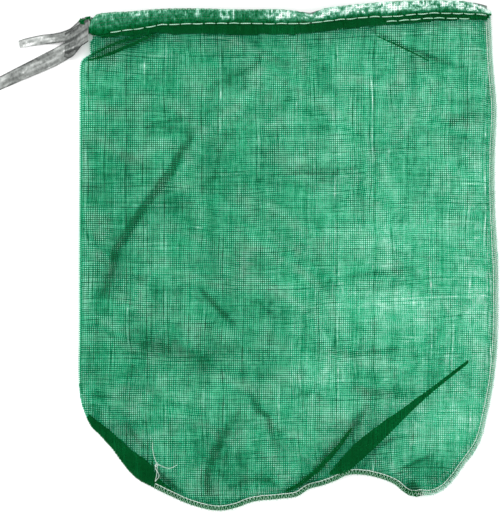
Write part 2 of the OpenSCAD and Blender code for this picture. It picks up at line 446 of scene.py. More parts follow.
# The lower tail is nearly flat and narrows from the knot to its cut end.
lower_path = along(LOWER_ROUTE, 0.6)
lower_shell = Shell()
lower_width = np.interp(
    lower_path[:, 0], [-237, -207, -195, -182, -172, -160, -150], [9.0, 9.0, 10.0, 11.1, 11.8, 11.6, 8.5]
)
film_tape(lower_shell, lower_path, lower_width, crinkle=0.3, seed=SEED + 1)
lower_tail = lower_shell.build("lower_tail_tape", film_grey)

# The flat knot: the tape turned over both ends in one wide crumpled piece.
KNOT_ROWS = 40  # its edges stop here, before the hem
KNOT_HIGH = [(-161.5, 161.2), (-156, 164.4), (-151, 167.2), (-146.5, 169.8), (-141.5, 171)]
KNOT_LOW = [(-161.8, 146.4), (-153.3, 149.2), (-147.5, 152.4), (-143.5, 155), (-140, 158.5)]
KNOT_LEVEL = [(-162, 3.9), (-156, 6.4), (-151, 8.3), (-146, 9.9), (-139.5, 10.4)]
knot_shell = Shell()
knot_high, knot_low = along(KNOT_HIGH, 0.5)[:KNOT_ROWS], along(KNOT_LOW, 0.5)[:KNOT_ROWS]
knot_z = through(KNOT_LEVEL)((knot_high[:, 0] + knot_low[:, 0]) / 2)
film_between(knot_shell, knot_low, knot_high, knot_z, crinkle=0.35, seed=SEED + 2, tone=-0.75)
KNOT_BUMP = [[-153.6, 150.4, 5.4], [-156, 147, 4.2], [-158.5, 145.2, 3.6], [-161.8, 146.2, 3.0]]
film_tape(knot_shell, along(KNOT_BUMP, 0.5), width=3.6, crinkle=0.4, seed=SEED + 3, tone=-0.4)
knot = knot_shell.build("drawstring_knot_tape", film_grey)


# ---- the bag's outline and its lie ----

LEFT_SIDE = through([
    (-120, -144.6), (-111, -148), (-101, -150.5), (-88, -151.6), (-60, -151.5), (0, -151.5), (60, -151.2),
    (120, -151), (135, -150.9), (139.5, -150.4), (142.4, -149), (144.3, -146.6), (145.5, -144.4),
    (146.6, -143.3), (148.2, -143.4), (176, -143.6),
])
RIGHT_SIDE = through([
    (-61, 151.8), (-32, 152.3), (-6, 152.3), (40, 149.8), (77, 149.8), (104, 151), (142, 148.2), (178, 146.8),
])
BOTTOM = [
    (-97.6, -167.7), (-84.6, -174), (-68.7, -180.8), (-49, -184.4), (-37.6, -182.4), (-27.5, -178.6),
    (-4.3, -175.7), (7, -174), (15.2, -168.8), (24.6, -166.3), (36, -162), (42, -159), (53.5, -158.3),
    (65, -160.5), (76.6, -164.8), (87.5, -172.8), (94.7, -173.6),
]
LOWER_EDGE = through([
    (-151.8, -90), (-150.5, -103), (-148, -112), (-144.6, -120), (-136, -130), (-127, -140), (-119, -151),
    (-112, -159), *BOTTOM[:3], (-60, -182.4), *BOTTOM[3:], (104.8, -172.8), (112.8, -169), (127.2, -151.8),
    (138.8, -134.5), (144.6, -112.8), (149, -89.7), (151.8, -61),
])
HEM_STITCH = through([
    (-143, 158), (-138, 159.2), (-127, 161.4), (-110.6, 163.6), (-93, 166.4), (-82, 167), (-27.5, 167.7),
    (13, 167.9), (30, 169.5), (53.5, 172), (76, 172.9), (99, 174.8), (122, 175), (147, 174.2),
])
HEM_TOP = through([
    (-145, 171.4), (-138.8, 174.2), (-128.7, 175.7), (-115.7, 176.4), (-99, 177.9), (-27.5, 177.9),
    (-4.3, 177.9), (10.8, 175.9), (16.6, 174.6), (22, 177.2), (42, 180.8), (65, 183), (87.5, 184.3),
    (110.6, 184.4), (128, 183.6), (139.5, 180.8), (147, 177),
])

FRONT_RISE = 6.2  # how far the front panel stands up in the middle of the bag
EDGE_ROUND = 26.0  # how far in from its edges the bag rounds over
BACK_Z = 0.5  # the middle of the back panel's mesh
LAYER_GAP = 0.9  # from the back panel to the front one where they are sewn or folded
YARN_T = 0.18  # how far each yarn lies off the middle of the mesh


def rounded(t):
    """A quarter circle: steep at 0 and level at 1."""
    t = np.clip(t, 0, 1)
    return np.sqrt(1 - (1 - t) ** 2)


def fullness(x, y):
    """0 at the sewn and folded edges and 1 in the middle of the bag."""
    left = rounded((x - LEFT_SIDE(y)) / EDGE_ROUND)
    right = rounded((RIGHT_SIDE(y) - x) / EDGE_ROUND)
    lower = rounded((y - LOWER_EDGE(x)) / EDGE_ROUND)
    return left * right * lower


# Creases: path, height, half width and how much painted shade the drawn-up yarns get, which also lays them
# wider (below 0, painted light, and narrower).
CREASES = [
    ([(-61, 101), (-78, 74.5), (-83, 62), (-100, 40.5), (-112, 24), (-124, 4), (-128, -12), (-137, -36)],
     3.4, 2.6, 1.2),
    ([(-79, 73), (-100, 40.5), (-112, 24), (-124, 4), (-128, -12)], 1.0, 1.7, 0.8),
    ([(-40, 96), (-49, 77), (-54, 60), (-64, 48)], 2.0, 2.6, 0.5),
    ([(-60, 121), (-44, 128), (-30, 134), (-22, 142), (-15, 152)], 1.8, 2.4, 0.5),
    ([(-106, 92), (-86, 99), (-66, 101)], 1.4, 1.6, 0.4),
    ([(-119, 75), (-100, 60)], 1.2, 2.0, 0.35),
    ([(55, 163), (70, 156), (81, 150), (95, 144), (108, 138), (136, 128)], 2.6, 1.7, 1.0),
    ([(110, 88), (122, 94), (146, 101)], 1.6, 3.0, 0.5),
    ([(-24, 55), (-4, 60), (35, 61), (56, 65)], 1.6, 2.2, 0.5),
    ([(18, -21), (43, -17), (83, -12), (117, -8)], 1.8, 2.0, 0.5),
    ([(43, -27), (76, -23), (104, -20)], 1.4, 1.8, 0.35),
    ([(-66, -22), (-61, -27), (-49, -39), (-34, -54)], 2.4, 1.8, 1.0),
    ([(-29, -28), (-6, -44)], 1.4, 2.4, 0.4),
    ([(-116, -68), (-82, -63), (-50, -81)], 1.6, 5.0, 0.45),
    ([(-33, -84), (-22, -109), (-15, -114), (-13, -124), (-8, -140)], 2.2, 2.2, 0.8),
    ([(-36, -106), (-44, -124), (-54, -140), (-58, -157), (-56, -174)], 2.2, 3.0, 0.7),
    ([(-44, -168), (-30, -160), (-13, -160), (-5, -170)], 2.0, 2.0, 0.7),
    ([(-4, -172), (6, -166), (18, -157), (35, -138), (50, -121), (58, -108)], 3.0, 3.2, 1.3),
    ([(53, -155), (64, -140), (79, -133), (108, -135)], 2.2, 1.6, 0.8),
    ([(80, -159), (93, -153), (106, -147)], 2.0, 1.5, 1.0),
    ([(10, -67), (32, -69), (54, -73), (83, -69), (113, -63)], 1.4, 1.6, 0.4),
    ([(45, -99), (88, -102)], 1.2, 4.5, 0.5),
    ([(-118, -121), (-104, -139)], 1.6, 1.8, 0.7),
    ([(-100, -150), (-90, -160), (-76, -171)], 2.2, 1.7, 1.2),
    ([(-147, 141.4), (-141, 143), (-124, 148), (-111, 153.4), (-94, 160.5)], 2.4, 1.3, 1.8),
    ([(-145, 145.6), (-134, 149.6), (-121, 154.4), (-106, 157.8), (-92, 161)], 1.6, 1.2, 1.4),
    ([(-143, 143.8), (-122, 151), (-94, 160.5)], 0.8, 3.0, 0.6),
    ([(-135, 118), (-110, 134), (-86, 152)], 1.2, 3.0, -0.25),
    ([(-115, -38), (-115, -62), (-119, -92)], 1.2, 1.8, -0.35),
]
# Patches of painted light and painted shade, where the cloth is also stretched open with narrower yarns
# (lighter) or lies bunched with wider yarns (darker): x, y, half sizes and amount.
LIGHT_AND_SHADE_PATCHES = [
    (80, -40, 34, 13, 0.35), (22, -85, 15, 11, 0.3), (-54, -108, 8, 11, 0.25), (35, -110, 18, 8, 0.25),
    (76, 15, 36, 8, 0.3), (136, -60, 14, 70, 0.3), (95, 10, 75, 170, 0.34), (140, 60, 10, 90, 0.2),
    (60, 18, 60, 5, 0.12), (90, -30, 50, 5, 0.12), (70, 70, 60, 5, 0.1), (110, -120, 30, 30, 0.3),
    (-125, 0, 30, 160, -0.12), (-80, -70, 38, 12, -0.2), (-48, -152, 16, 22, -0.25), (112, -160, 20, 7, -0.5),
    (90, -170, 6, 4, -1.2), (-45, 20, 30, 30, -0.12), (-130, 150, 12, 5, 0.1), (104, -143, 18, 10, 0.2),
]


HEIGHT, PAINTED_SHADE = 1, 3


def crease_lines(column):
    """What all the creases add up to, in height or in painted shade. Each fades out at both ends."""

    def lines(x, y):
        total = np.zeros(np.shape(x))
        for crease in CREASES:
            far, place = distance_to(x, y, crease[0])
            faded = np.sqrt(np.maximum(np.sin(np.pi * np.clip(place, 0.01, 0.99)), 0.0))
            total += crease[column] * np.exp(-((far / crease[2]) ** 2)) * faded
        return total

    return lines


def patches(x, y):
    total = np.zeros(np.shape(x))
    for px, py, rx, ry, amount in LIGHT_AND_SHADE_PATCHES:
        total += amount * np.exp(-(((x - px) / rx) ** 2) - ((y - py) / ry) ** 2)
    return total


# The creases' height is real; their darkness is painted shade.
crease_height = sampled(crease_lines(HEIGHT))
crease_painted_shade = sampled(crease_lines(PAINTED_SHADE))
# Painted light and shade in broad patches.
patch_light_and_shade = sampled(patches)


def swell(x, y):
    """Slow hills and hollows of the loose cloth."""
    return (
        0.7 * np.sin(x / 23 + 0.6 * np.sin(y / 31)) * np.cos(y / 37 + 0.5)
        + 0.45 * np.sin((x + 0.8 * y) / 11.5 + 1.3)
        + 0.3 * np.sin((y - 0.15 * x) / 6.3 + 0.8 * np.sin(x / 19))
    )


def front_lie(x, y):
    return BACK_Z + LAYER_GAP + fullness(x, y) * (FRONT_RISE + swell(x, y) + crease_height(x, y))


front_height = sampled(front_lie)


def back_height(x, y):
    return BACK_Z + 0.25 * fullness(x, y) * (1 + np.sin(x / 17) * np.cos(y / 21))


def weave_tone(u, v, kind):
    """The uneven look of cheap mesh: yarns a little thicker or thinner, in streaks both ways. kind picks the
    random values, so that the two panels differ."""
    return (
        0.42 * mottle(u, v, 1.9, kind) + 0.22 * mottle(u, v * 0.14, 1.8, kind + 1)
        + 0.22 * mottle(u * 0.14, v, 1.8, kind + 2) + 0.06 * mottle(u, v, 9.0, kind + 3)
        + 0.07 * np.sin(u / 2.15 + 3.5 * mottle(u, v, 34, kind))
        + 0.07 * np.sin(v / 2.15 + 3.5 * mottle(u, v, 31, kind + 1))
    )


def front_tone(u, v):
    return weave_tone(u, v, 0) + patch_light_and_shade(u, v) - 1.6 * crease_painted_shade(u, v)


def back_tone(u, v):
    return weave_tone(u, v, 4) + 0.6 * patch_light_and_shade(u, v)


# ---- woven mesh ----

PITCH = 1.52  # millimetres from yarn to yarn
WARP_W = 0.60  # the lengthways yarns are pairs, so they are wider
WEFT_W = 0.52
STATION = 2.6  # from one point of a yarn to the next
PANE = 13.7  # from one line of uneven yarns to the next
PANE_LINE = 2.4  # how far such a line reaches to each side
YARN_WANDER = 0.12  # how far a yarn may lie off its place
YARN_TONE = 0.1  # how much one yarn differs from the next
DARK_WIDENS = 0.45  # how much wider a yarn lies where it is darker
FOLD_IN = 1.8  # how far the left fold reaches in on each face
FOLD_PROUD = 0.15  # how far it stands out past the outline


def runs_inside(outline, place, axis):
    """Where the line at this place along an axis lies inside a closed outline, as pairs of ends."""
    a, b = outline, np.roll(outline, -1, axis=0)
    other = 1 - axis
    crosses = (a[:, axis] <= place) != (b[:, axis] <= place)
    a, b = a[crosses], b[crosses]
    t = (place - a[:, axis]) / (b[:, axis] - a[:, axis])
    ends = np.sort(a[:, other] + t * (b[:, other] - a[:, other]))
    return list(zip(ends[::2], ends[1::2]))


def weave(
    shell, outline, lay, pitch=PITCH, offset=(0.0, 0.0), warp_w=WARP_W, weft_w=WEFT_W, station=STATION,
    tone=0.0, panes=0.0,
):
    """Lays yarns both ways over an outline in the cloth's own millimetres.
    lay(u, v, lift) gives where a point of the cloth goes, with the yarn's lift off the cloth's middle.
    panes is how strongly every ninth yarn or so stands out, paler and darker by turns, as broken squares."""
    outline = np.array(outline, float)
    rng = np.random.default_rng(SEED + len(outline))
    for axis, width, lift in ((0, warp_w, YARN_T), (1, weft_w, -YARN_T)):
        low, high = outline[:, axis].min(), outline[:, axis].max()
        first = np.ceil((low - offset[axis]) / pitch) * pitch + offset[axis]
        for number, place in enumerate(np.arange(first, high, pitch)):
            own = YARN_TONE * rng.normal()
            shift = rng.uniform(-YARN_WANDER, YARN_WANDER)
            for start, end in runs_inside(outline, place, axis):
                if end - start < 0.8 * pitch:
                    continue
                t = np.linspace(start, end, max(2, int((end - start) / station) + 1))
                fixed = np.full(len(t), place + shift)
                shade = own + (tone(*((fixed, t) if axis == 0 else (t, fixed))) if callable(tone) else tone)
                if panes:
                    pane = (place + 1.6 * np.sin(t / 45 + axis)) / PANE % 1
                    near = np.exp(-(((pane - 0.5) * PANE / PANE_LINE) ** 2))
                    broken = np.clip(0.6 + 0.9 * mottle(t, fixed, 12, 5 + axis), 0, 1.2)
                    shade = shade + panes * near * broken * (0.75 if number % 2 else -0.75)
                half = width / 2 * np.clip(1 - DARK_WIDENS * shade, 0.75, 1.7)
                edges = []
                for side in (-half, half):
                    u, v = (fixed + side, t) if axis == 0 else (t, fixed + side)
                    edges.append(lay(u, v, lift))
                shell.grid(np.stack(edges, axis=1), tone=np.broadcast_to(shade, len(t))[:, None])


def panel_outline(top_up):
    """The flat bag's outline: down the left, along the bottom, up the right and back under the hem."""
    left = np.array([(LEFT_SIDE(y) + 0.8 * FOLD_IN, y) for y in np.arange(157, -90, -2.0)])
    lower = np.array([(x, LOWER_EDGE(x)) for x in np.arange(-151.5, 151.8, 1.0)])
    right = np.array([(RIGHT_SIDE(y), y) for y in np.arange(-60, 175, 2.0)])
    top = np.array([(x, HEM_STITCH(x) + top_up) for x in np.arange(146, -143, -2.0)])
    return np.concatenate([left, lower, right, top])


def front_drift(u, v):
    """How the front cloth is pulled out of square: crossways yarns rise a little to the right, and both
    kinds wander by up to a millimetre or two in slow and quick waves."""
    du = 0.9 * np.sin(v / 34 + 0.4) * np.cos(u / 60) + 0.35 * np.sin(v / 9 + u / 40)
    dv = 1.3 * np.sin(u / 48 - 0.8) + 0.022 * np.maximum(u, 0) + 0.4 * np.sin(u / 13 + v / 25)
    du = du + 0.4 * np.sin(v / 13 + 2 * np.sin(u / 29)) + 0.35 * np.sin((u + v) / 8.3)
    dv = dv + 0.4 * np.sin(u / 15 + 2 * np.sin(v / 33)) + 0.35 * np.sin((u - v) / 9.1)
    return du, dv


def back_drift(u, v):
    """How the back cloth is pulled out of square."""
    du = 0.8 * np.sin(v / 41 + 2.0) + 0.012 * v
    dv = 1.1 * np.sin(u / 52 + 1.1) - 0.010 * u
    return du, dv


def lay_panel(drift, height):
    """A panel's cloth. Its drift fades out towards the edges, so the outline stays where it is."""

    def lay(u, v, lift):
        du, dv = drift(u, v)
        k = np.clip(fullness(u, v) * 1.2, 0, 1)
        x, y = u + du * k, v + dv * k
        return np.stack([x, y, height(x, y) + lift], axis=-1)

    return lay


def flat_area(outline):
    """The area inside an outline, in square metres."""
    x, y = outline[:, 0], outline[:, 1]
    return abs(float(np.sum(x * np.roll(y, -1) - y * np.roll(x, -1)))) / 2 * MM * MM


outline = panel_outline(0.6)
front_shell = Shell()
weave(front_shell, outline, lay_panel(front_drift, front_height), station=1.6, tone=front_tone, panes=1.0)
front_panel = front_shell.build("front_panel_mesh", mesh_green)
back_shell = Shell()
weave(
    back_shell, outline, lay_panel(back_drift, back_height), offset=(0.7, 0.4), tone=back_tone, panes=0.4
)
back_panel = back_shell.build("back_panel_mesh", mesh_green)


# The fold at the left: crossways yarns turn over from the back to the front.
def lay_fold(u, v, lift):
    """u runs round the edge from the back to the front, v up the side."""
    turn = np.clip(u / FOLD_IN, -1, 1) * np.pi / 2
    x0 = LEFT_SIDE(v)
    x = x0 + FOLD_IN * (1 - np.cos(turn)) - FOLD_PROUD
    top, low = front_height(x0 + FOLD_IN, v), back_height(x0 + FOLD_IN, v)
    z = (top + low) / 2 + (top - low) / 2 * np.sin(turn) + lift
    return np.stack([x, v, z], axis=-1)


fold_shell = Shell()
fold_box = [(-FOLD_IN, -100), (FOLD_IN, -100), (FOLD_IN, 156), (-FOLD_IN, 156)]
weave(fold_shell, fold_box, lay_fold, station=0.9, tone=0.15)
left_fold = fold_shell.build("left_fold_mesh", mesh_green)


# ---- hems ----

CHANNEL = 1.1  # half the height of a hem with the tape in it
HEM_GIRTH = 22.0  # round the channel
HEM_PITCH = 1.15  # the mesh is drawn closer together in the hems
HEM_WARP_W, HEM_WEFT_W = 0.72, 0.62
HEM_WEFTS = 19  # how many yarns run along the channel
# How far the turned-in layers hang below the stitches.
FLAP = through([
    (-137, 1.6), (-126, 3.0), (-100, 4.4), (-85, 5.6), (60, 5.8), (78, 5.6), (99, 4.8), (146, 2.8),
])
# Painted glints where the mesh of the hem is pulled tight over the tape and catches the light: from, to, and
# how much.
GLINTS = [
    (-111, -101, 1.5), (-69, -62, 1.2), (-51, -37, 1.5), (-12, 13, 1.7), (36, 76, 1.8), (95, 121, 1.7),
    (127, 144, 1.6),
]


def hem_level(x):
    """How high the front hem lies above the back hem."""
    ends = rounded((x + 152) / 16) * rounded((148 - x) / 24)
    return 2.4 + 6.1 * ends + 0.35 * np.sin(x / 13.0) + 0.25 * np.sin(x / 5.1 + 1)


def hem_tone(u, across):
    """Painted sheen along the channel, stronger towards the right and strongest in the GLINTS, with painted
    shade towards the stitches. across is 0 at the stitches and 1 at the top edge.
    """
    shine = 0.65 + 1.15 * np.clip((u + 22) / 12, 0, 1) - 0.5 * np.exp(-(((u - 17) / 5) ** 2))
    for start, end, much in GLINTS:
        shine = np.maximum(shine, much * np.clip((u - start) / 3, 0, 1) * np.clip((end - u) / 3, 0, 1))
    spots = mottle(u, across * 10, 2.6, 1) + 0.6 * mottle(u, across * 10, 1.3, 2)
    body = -0.6 + 0.75 * np.clip(across, 0, 1) + 0.5 * mottle(u, across * 10, 1.3, 3)
    # Mottled painted sheen and glints over the middle of the channel.
    place = np.exp(-(((across - 0.62) / 0.42) ** 4))
    return body + shine * place * (0.68 + 0.5 * spots + 0.4 * mottle(u, across * 10, 0.9, 6)).clip(0.32, 1.0)


def lay_hem(base):
    """v runs round the channel: up the inside, over the top edge and down the outside to the stitches."""

    def lay(u, v, lift):
        low, high = HEM_STITCH(u), HEM_TOP(u)
        depth = high - low
        turn = np.clip(v, 0, 1) * 2 * np.pi
        crush = 0.22 * np.sin(u * 1.9 + 3 * np.sin(v * 6)) + 0.16 * np.sin(u * 0.83 + v * 9)
        narrow = np.sqrt(np.clip((u + 146.5) / 9, 0.12, 1))
        y = low + depth / 2 * (1 - narrow * np.cos(turn)) + 0.12 * np.sin(u * 1.3)
        outward = np.sign(np.sin(turn) + 1e-6)
        z = base(u) + (CHANNEL * np.sin(turn) + crush * np.sin(turn / 2)) + lift * outward
        return np.stack([u, y, z], axis=-1)

    return lay


def hem_weave(shell, base, shine):
    """The channel's cloth. Its own v goes from 0 to 1 round the channel, so yarns are laid by hand."""
    lay = lay_hem(base)
    round_it = np.linspace(0, 1, 31)
    across = 0.5 - 0.5 * np.cos(round_it * 2 * np.pi)
    for u in np.arange(-144, 147, HEM_PITCH):
        shade = shine(np.full(len(round_it), u), across)
        halves = (-HEM_WARP_W / 2, HEM_WARP_W / 2)
        edges = [lay(np.full(len(round_it), u + half), round_it, YARN_T) for half in halves]
        shell.grid(np.stack(edges, axis=1), tone=shade[:, None])
    stations = np.arange(-145, 147.2, 0.9)
    share = HEM_WEFT_W / HEM_GIRTH
    for v in np.linspace(0.02, 0.98, HEM_WEFTS):
        shade = shine(stations, np.full(len(stations), 0.5 - 0.5 * np.cos(v * 2 * np.pi)))
        halves = (-share / 2, share / 2)
        edges = [lay(stations, np.full(len(stations), v + half), -YARN_T) for half in halves]
        shell.grid(np.stack(edges, axis=1), tone=shade[:, None])


def flap_layer(shell, z_of, wander, drop):
    """One turned-in layer below the stitches, with its cut edge hanging a little unevenly, darkened with
    painted shade.
    """

    def lay(u, v, lift):
        y = HEM_STITCH(u) - v + 0.12 * np.sin(u / 4 + wander)
        return np.stack([u, y, z_of(u, y) + lift + drop], axis=-1)

    ragged = [
        (u, FLAP(u) + 0.25 * np.sin(u / 7 + wander) + 0.15 * np.sin(u / 2.3))
        for u in np.arange(145, -137, -2.0)
    ]
    weave(
        shell, [(-136, -0.8), (146, -0.8)] + ragged, lay, offset=(wander, 0.3), pitch=HEM_PITCH, warp_w=0.64,
        weft_w=0.6, tone=-0.8,
    )


def front_hem_base(x):
    return BACK_Z + hem_level(x)


def back_hem_base(x):
    return np.full(np.shape(x), BACK_Z + 1.15)


front_hem_shell = Shell()
hem_weave(front_hem_shell, front_hem_base, hem_tone)
for wander, drop in ((0.3, 0.5), (1.1, -0.5)):
    flap_layer(
        front_hem_shell, lambda u, y: np.maximum(front_height(u, y), front_hem_base(u) - 1.2), wander, drop
    )
front_casing = front_hem_shell.build("front_hem_mesh", folded_green)
back_hem_shell = Shell()
# The back hem's dark tone is painted shade.
hem_weave(back_hem_shell, back_hem_base, lambda u, across: -0.6 + 0.3 * mottle(u, across * 10, 1.6, 5))
for wander, drop in ((0.9, 0.4), (0.1, 0.8)):
    flap_layer(back_hem_shell, back_height, wander, drop)
back_casing = back_hem_shell.build("back_hem_mesh", folded_green)


# ---- places folded over ----

def spun(x, y, angle):
    """Points turned about the origin by an angle in degrees."""
    c, s = np.cos(np.radians(angle)), np.sin(np.radians(angle))
    return c * x - s * y, s * x + c * y


def lay_over(height, angle, drop):
    """Cloth that lies turned by an angle over another layer."""

    def lay(u, v, lift):
        x, y = spun(u, v, angle)
        return np.stack([x, y, height(x, y) + drop + lift], axis=-1)

    return lay


def turned(points, angle):
    """An outline given in the bag's frame, in the turned cloth's own frame."""
    return np.stack(spun(*np.array(points, float).T, -angle), axis=1)


def layers_over(shell, points, height, angles, drops):
    """Layers of drawn-together mesh over an outline, each turned by its own angle, at its own level, and
    darkened with painted shade, which also lays its yarns wider.
    """
    for angle, drop in zip(angles, drops):
        weave(
            shell, turned(points, angle), lay_over(height, angle, drop), offset=(0.2 * angle, 0.5),
            pitch=1.25, warp_w=0.7, weft_w=0.66, tone=-0.7,
        )


CORNER_OUT = [(x, LOWER_EDGE(x)) for x in np.arange(-146, -76, 2.0)]
CORNER_IN = along([
    (-78, -175.8), (-87, -169), (-94.5, -160.5), (-99, -151.5), (-112, -141), (-128, -127), (-144, -115),
], 3)
corner_shell = Shell()
layers_over(corner_shell, CORNER_OUT + CORNER_IN.tolist(), front_height, (-46, -40, 4), (-0.5, 0.4, 0.8))
folded_corner = corner_shell.build("folded_corner_mesh", folded_green)


def fold_line(shell, points, width, drop):
    """A narrow fold: one more layer of mesh along a line, thin at both ends, darkened with painted shade."""
    p = along(points, 2.5)
    side = across_path(p)
    half = width / 2 * np.clip(np.sin(np.linspace(0.12, np.pi - 0.12, len(p))), 0, 1)[:, None] ** 0.5
    angle = np.degrees(np.arctan2(*(p[-1] - p[0])[::-1]))
    edge = np.concatenate([p - side * half, (p + side * half)[::-1]])
    weave(
        shell, turned(edge, angle), lay_over(front_height, angle, drop), pitch=0.85, warp_w=0.5, weft_w=0.56,
        station=1.2, tone=-0.8,
    )


PLEAT_LEFT = along([(130, -75), (87, -107), (70, -119), (48, -136), (29, -158)], 3)
PLEAT_RIGHT = along([(42, -157.5), (70, -131), (93, -108), (130, -77)], 3)
pleat_shell = Shell()
layers_over(
    pleat_shell, PLEAT_LEFT.tolist() + PLEAT_RIGHT.tolist(), front_height, (38, 8, -2), (0.5, 1.0, 1.5)
)
# Narrow folds: path, width and level above the cloth.
FOLD_LINES = [
    ([(-145, 141.4), (-136, 143.4), (-124, 147.6), (-110, 153.6), (-97, 159.6)], 2.0, 0.7),
    ([(-142, 145.8), (-133, 149.6), (-121, 154.6), (-108, 158.4), (-97, 161)], 1.7, 0.9),
    ([(64, 159), (82, 150.4), (101, 141)], 1.1, 0.5),
    ([(-2, -170), (8, -165), (18, -157), (35, -139), (46, -124)], 3.4, 0.5),
    ([(-98, -147), (-97.5, -157), (-91, -164), (-82, -171)], 1.8, 0.8),
]
for points, wide, drop in FOLD_LINES:
    fold_line(pleat_shell, points, wide, drop)
SEAM_PUCKER = [(83, -167.6), (88, -169.4), (96, -170.4), (98.4, -173), (93, -174.4), (87, -173)]
layers_over(pleat_shell, SEAM_PUCKER, front_height, (20, -30), (1.2, 1.6))
front_pleat = pleat_shell.build("front_pleat_mesh", folded_green)

TUCK = [
    (-142.5, 167.8), (-145.5, 166.6), (-149.4, 167.4), (-151, 169.4), (-149.6, 171.4), (-146.2, 172.2),
    (-142.5, 172.6),
]
tuck_shell = Shell()


def tuck_height(x, y):
    return 8.6 + 1.2 * np.sin((x + 151) / 1.7) * np.sin((y - 166) / 1.5) + 0.25 * (x + 151) / 3


layers_over(tuck_shell, TUCK, tuck_height, (20, -35, 5), (-1.0, -0.2, 0.5))
casing_tuck = tuck_shell.build("casing_end_tuck_mesh", folded_green)


# ---- seams and stitches ----

SEAM_IN = 3.6  # from the cut edge to the seam


def edge_path(points, inset=0.0, lift=0.0):
    """A path along an edge on the cloth, moved inwards to its left."""
    p = along(points, 1.0)
    inside = across_path(p)
    p = p + inside * inset
    return np.column_stack([p, front_height(p[:, 0], p[:, 1]) + lift]), inside


def stitches(shell, path, pitch, gap, radius, bow, sway, seed):
    """A row of stitches: short bowed threads end to end."""
    rng = np.random.default_rng(seed)
    s = run_of(path)
    place = 0.0
    while place + pitch < s[-1]:
        t = np.linspace(place, place + pitch - gap, 6)
        p = at(t, s, path, 3)
        hump = np.sin(np.linspace(0, np.pi, 6))
        p[:, 2] += bow * (hump - 0.6)
        p[:, 1] += sway * rng.uniform(-1, 1) * hump
        ring_tube(shell, p, radius * (0.75 + 0.35 * hump))
        place += pitch * rng.uniform(0.94, 1.06)


def loops(shell, path, inside, width, pitch, radius, seed):
    """Overlock loops that zigzag from the seam line over the cut edge."""
    rng = np.random.default_rng(seed)
    s = run_of(path)
    n = int(s[-1] / pitch)
    t = np.linspace(0, s[-1], n * 8)
    base = at(t, s, path, 3)
    out = at(t, s, inside, 2)
    phase = t / pitch * 2 * np.pi
    swing = (0.5 - 0.5 * np.cos(phase)) * width * (1 + 0.08 * np.sin(t * 0.9 + seed))
    base[:, :2] -= out * swing[:, None]
    base[:, 2] += 0.35 * np.sin(phase) + rng.uniform(-0.05, 0.05, len(t))
    ring_tube(shell, base, radius, 5)


SIDE = [
    (94, -172.6), (104.8, -172.8), (112.8, -169), (121, -160.5), (127.2, -151.8), (138.8, -134.5),
    (144.6, -112.8), (149, -89.7), (151.8, -61), (152.3, -20), (149.8, 40), (149.8, 77), (151, 104),
    (148.2, 142), (146.8, 172),
]


def seam_strip(shell, points, layers, tone):
    """Layers of mesh along an edge, with the lengthways yarns following it."""
    path, inside = edge_path(points)
    s = run_of(path[:, :2])

    def lay_at(drop):
        def lay(u, v, lift):
            p = at(v, s, path, 2) + at(v, s, inside, 2) * u[..., None]
            x, y = p[..., 0], p[..., 1]
            return np.stack([x, y, front_height(x, y) + drop + lift], axis=-1)

        return lay

    ragged = [(-0.25 * np.sin(v * 1.7) - 0.2, v) for v in np.arange(s[-1], 0, -1.5)]
    for n, drop in enumerate(layers):
        weave(
            shell, [(SEAM_IN, 0.0), (SEAM_IN, s[-1])] + ragged, lay_at(drop), pitch=1.3,
            offset=(0.3 * n, 0.5 * n), tone=tone,
        )


UP_FROM = 8  # the point of the side's edge where its straight part starts
side_shell = Shell()
seam_strip(side_shell, SIDE[UP_FROM:], (0.3,), 0.9)
side_allowance = side_shell.build("side_seam_mesh", mesh_green)
side_corner_shell = Shell()
seam_strip(side_corner_shell, SIDE[: UP_FROM + 1], (0.3,), 0.6)
side_corner = side_corner_shell.build("side_seam_corner_mesh", mesh_green)
bottom_shell = Shell()
seam_strip(bottom_shell, BOTTOM, (-0.5, 0.4), -0.5)
bottom_allowance = bottom_shell.build("bottom_seam_mesh", folded_green)

side_thread_shell = Shell()
path, inside = edge_path(SIDE, inset=SEAM_IN, lift=0.6)
stitches(side_thread_shell, path, pitch=3.2, gap=0.3, radius=0.3, bow=0.3, sway=0.0, seed=SEED)
path, inside = edge_path(SIDE, inset=2.6, lift=0.55)
loops(side_thread_shell, path, inside, width=2.9, pitch=1.4, radius=0.2, seed=SEED)
side_thread = side_thread_shell.build("side_seam_stitches", seam_thread)

bottom_thread_shell = Shell()
path, inside = edge_path(BOTTOM, inset=SEAM_IN, lift=0.9)
stitches(bottom_thread_shell, path, pitch=3.0, gap=0.2, radius=0.34, bow=0.3, sway=0.1, seed=SEED)
bottom_thread = bottom_thread_shell.build("bottom_seam_stitches", seam_thread)
overlock_shell = Shell()
path, inside = edge_path(BOTTOM, inset=SEAM_IN - 0.4, lift=0.95)
loops(overlock_shell, path, inside, width=3.6, pitch=2.6, radius=0.14, seed=SEED + 1)
overlock = overlock_shell.build("bottom_overlock_loops", pale_thread)


def hem_stitch_row(name, x_from, x_to, down, base, up, seed):
    """A row of long stitches in a hem, down below its line and up above the middle of the channel."""
    x = np.arange(x_from, x_to, 0.8)
    path = np.column_stack([x, HEM_STITCH(x) - down, base(x) + up])
    shell = Shell()
    stitches(shell, path, pitch=8.6, gap=1.3, radius=0.34, bow=0.3, sway=0.4, seed=seed)
    return shell.build(name, pale_thread)


front_hem_thread = hem_stitch_row("front_hem_stitches", -128, 146, 0.0, front_hem_base, 0.7, SEED)
back_hem_thread = hem_stitch_row("back_hem_stitches", -128, 146, 0.0, back_hem_base, 0.7, SEED + 1)
overrun_thread = hem_stitch_row("hem_end_stitches", 71, 134, 3.6, front_hem_base, 0.6, SEED + 2)

